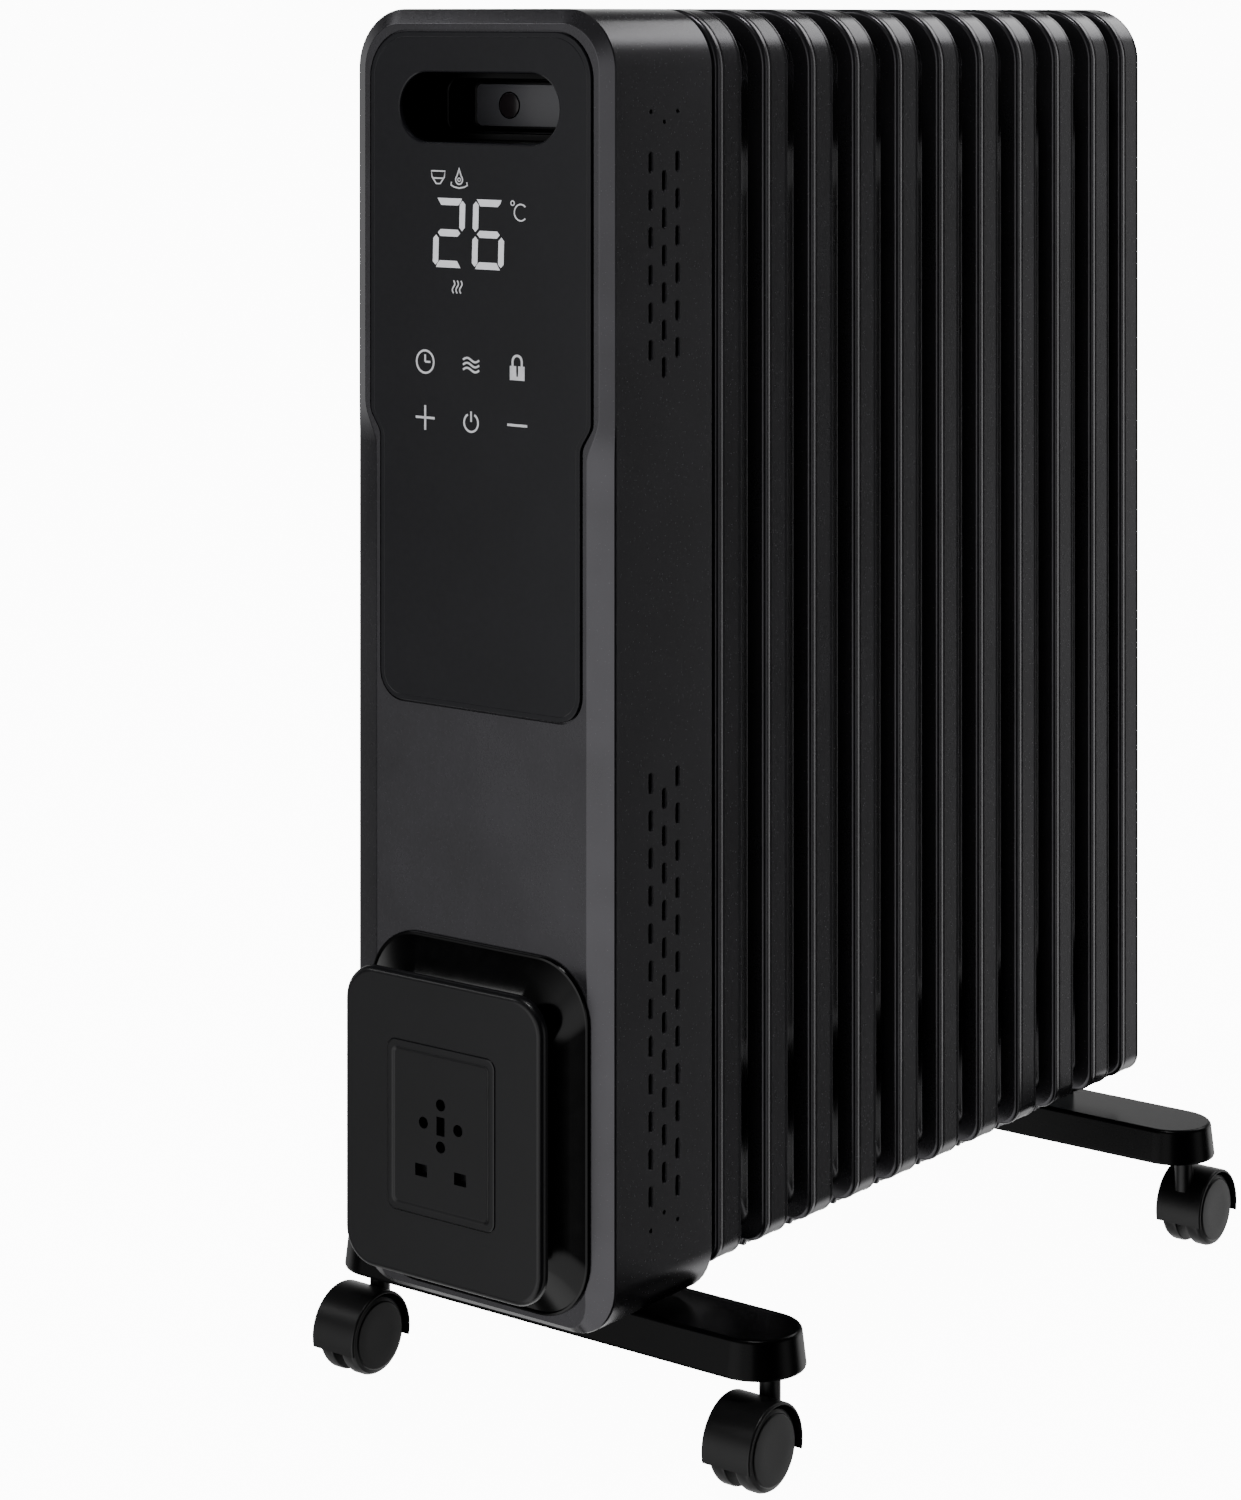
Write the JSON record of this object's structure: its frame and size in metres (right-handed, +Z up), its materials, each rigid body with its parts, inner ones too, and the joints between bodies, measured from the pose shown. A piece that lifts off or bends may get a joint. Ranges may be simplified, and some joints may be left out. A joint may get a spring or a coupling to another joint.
{
  "type": "oil filled radiator heater",
  "caption": "Free-standing oil filled radiator with a control housing, touch panel, grip pocket, cord winder, pressed fins and swivel casters.",
  "frame": {"origin": "on the floor, under the middle of the heater's overall box", "axes": "+Z up; the control panel faces -Y and the fin stack runs along +Y; +X is to the right of the panel for someone looking at it from the front"},
  "size_m": [0.255, 0.4952, 0.64],
  "materials": {
    "gunmetal_paint": "satin metallic paint",
    "gloss_black": "gloss",
    "satin_black": "satin",
    "steel": "satin",
    "zinc_plate": "satin",
    "board_green": "matte",
    "white_plastic": "satin",
    "relay_blue": "satin",
    "display_black": "gloss",
    "lens_red": "gloss",
    "brass": "satin",
    "incoloy": "satin",
    "rubber": "matte"
  },
  "bodies": {
    "radiator": {"fin_01": "gunmetal_paint", "fin_02": "gunmetal_paint", "fin_03": "gunmetal_paint", "fin_04": "gunmetal_paint", "fin_05": "gunmetal_paint", "fin_06": "gunmetal_paint", "fin_07": "gunmetal_paint", "fin_08": "gunmetal_paint", "fin_09": "gunmetal_paint", "fin_10": "gunmetal_paint", "fin_11": "gunmetal_paint", "housing_shell": "gunmetal_paint", "housing_bulkhead": "zinc_plate", "control_fascia": "gloss_black", "grip_pocket": "gloss_black", "ir_receiver": "lens_red", "display_module": "display_black", "control_board": "board_green", "power_board": "board_green", "power_relay": "relay_blue", "terminal_block": "white_plastic", "tilt_switch": "white_plastic", "thermal_cutout": "steel", "air_sensor": "white_plastic", "element_flange": "brass", "heating_element": "incoloy", "filler_plug": "zinc_plate", "winder_neck": "gloss_black", "winder_plate": "satin_black", "parking_socket": "satin_black", "cord_gland": "rubber", "foot_front": "satin_black", "foot_rear": "satin_black", "front_foot_screw_left": "steel", "front_foot_screw_right": "steel", "rear_u_bolt": "zinc_plate", "rear_saddle": "zinc_plate", "wing_nut_left": "zinc_plate", "wing_nut_right": "zinc_plate", "caster_front_left_stem": "steel", "caster_front_right_stem": "steel", "caster_rear_left_stem": "steel", "caster_rear_right_stem": "steel"},
    "caster_front_left": {"caster_front_left_hood": "satin_black", "caster_front_left_axle": "steel"},
    "caster_front_left_wheel_a_roll": {"caster_front_left_wheel_a": "satin_black"},
    "caster_front_left_wheel_b_roll": {"caster_front_left_wheel_b": "satin_black"},
    "caster_front_right": {"caster_front_right_hood": "satin_black", "caster_front_right_axle": "steel"},
    "caster_front_right_wheel_a_roll": {"caster_front_right_wheel_a": "satin_black"},
    "caster_front_right_wheel_b_roll": {"caster_front_right_wheel_b": "satin_black"},
    "caster_rear_left": {"caster_rear_left_hood": "satin_black", "caster_rear_left_axle": "steel"},
    "caster_rear_left_wheel_a_roll": {"caster_rear_left_wheel_a": "satin_black"},
    "caster_rear_left_wheel_b_roll": {"caster_rear_left_wheel_b": "satin_black"},
    "caster_rear_right": {"caster_rear_right_hood": "satin_black", "caster_rear_right_axle": "steel"},
    "caster_rear_right_wheel_a_roll": {"caster_rear_right_wheel_a": "satin_black"},
    "caster_rear_right_wheel_b_roll": {"caster_rear_right_wheel_b": "satin_black"}
  },
  "joints": [
    {"name": "caster_front_left_swivel", "type": "hinge", "parent": "radiator", "child": "caster_front_left", "pos_m": [-0.1127, -0.1583, 0.042], "axis": [0, 0, 1], "continuous": true},
    {"name": "caster_front_left_wheel_a_spin", "type": "hinge", "parent": "caster_front_left", "child": "caster_front_left_wheel_a_roll", "pos_m": [-0.1127, -0.1716, 0.0184], "axis": [1, 0, 0], "continuous": true},
    {"name": "caster_front_left_wheel_b_spin", "type": "hinge", "parent": "caster_front_left", "child": "caster_front_left_wheel_b_roll", "pos_m": [-0.1127, -0.1716, 0.0184], "axis": [1, 0, 0], "continuous": true},
    {"name": "caster_front_right_swivel", "type": "hinge", "parent": "radiator", "child": "caster_front_right", "pos_m": [0.1127, -0.1583, 0.042], "axis": [0, 0, 1], "continuous": true},
    {"name": "caster_front_right_wheel_a_spin", "type": "hinge", "parent": "caster_front_right", "child": "caster_front_right_wheel_a_roll", "pos_m": [0.1127, -0.1716, 0.0184], "axis": [1, 0, 0], "continuous": true},
    {"name": "caster_front_right_wheel_b_spin", "type": "hinge", "parent": "caster_front_right", "child": "caster_front_right_wheel_b_roll", "pos_m": [0.1127, -0.1716, 0.0184], "axis": [1, 0, 0], "continuous": true},
    {"name": "caster_rear_left_swivel", "type": "hinge", "parent": "radiator", "child": "caster_rear_left", "pos_m": [-0.1127, 0.2137, 0.042], "axis": [0, 0, 1], "continuous": true},
    {"name": "caster_rear_left_wheel_a_spin", "type": "hinge", "parent": "caster_rear_left", "child": "caster_rear_left_wheel_a_roll", "pos_m": [-0.1127, 0.227, 0.0184], "axis": [1, 0, 0], "continuous": true},
    {"name": "caster_rear_left_wheel_b_spin", "type": "hinge", "parent": "caster_rear_left", "child": "caster_rear_left_wheel_b_roll", "pos_m": [-0.1127, 0.227, 0.0184], "axis": [1, 0, 0], "continuous": true},
    {"name": "caster_rear_right_swivel", "type": "hinge", "parent": "radiator", "child": "caster_rear_right", "pos_m": [0.1127, 0.2137, 0.042], "axis": [0, 0, 1], "continuous": true},
    {"name": "caster_rear_right_wheel_a_spin", "type": "hinge", "parent": "caster_rear_right", "child": "caster_rear_right_wheel_a_roll", "pos_m": [0.1127, 0.227, 0.0184], "axis": [1, 0, 0], "continuous": true},
    {"name": "caster_rear_right_wheel_b_spin", "type": "hinge", "parent": "caster_rear_right", "child": "caster_rear_right_wheel_b_roll", "pos_m": [0.1127, 0.227, 0.0184], "axis": [1, 0, 0], "continuous": true}
  ]
}
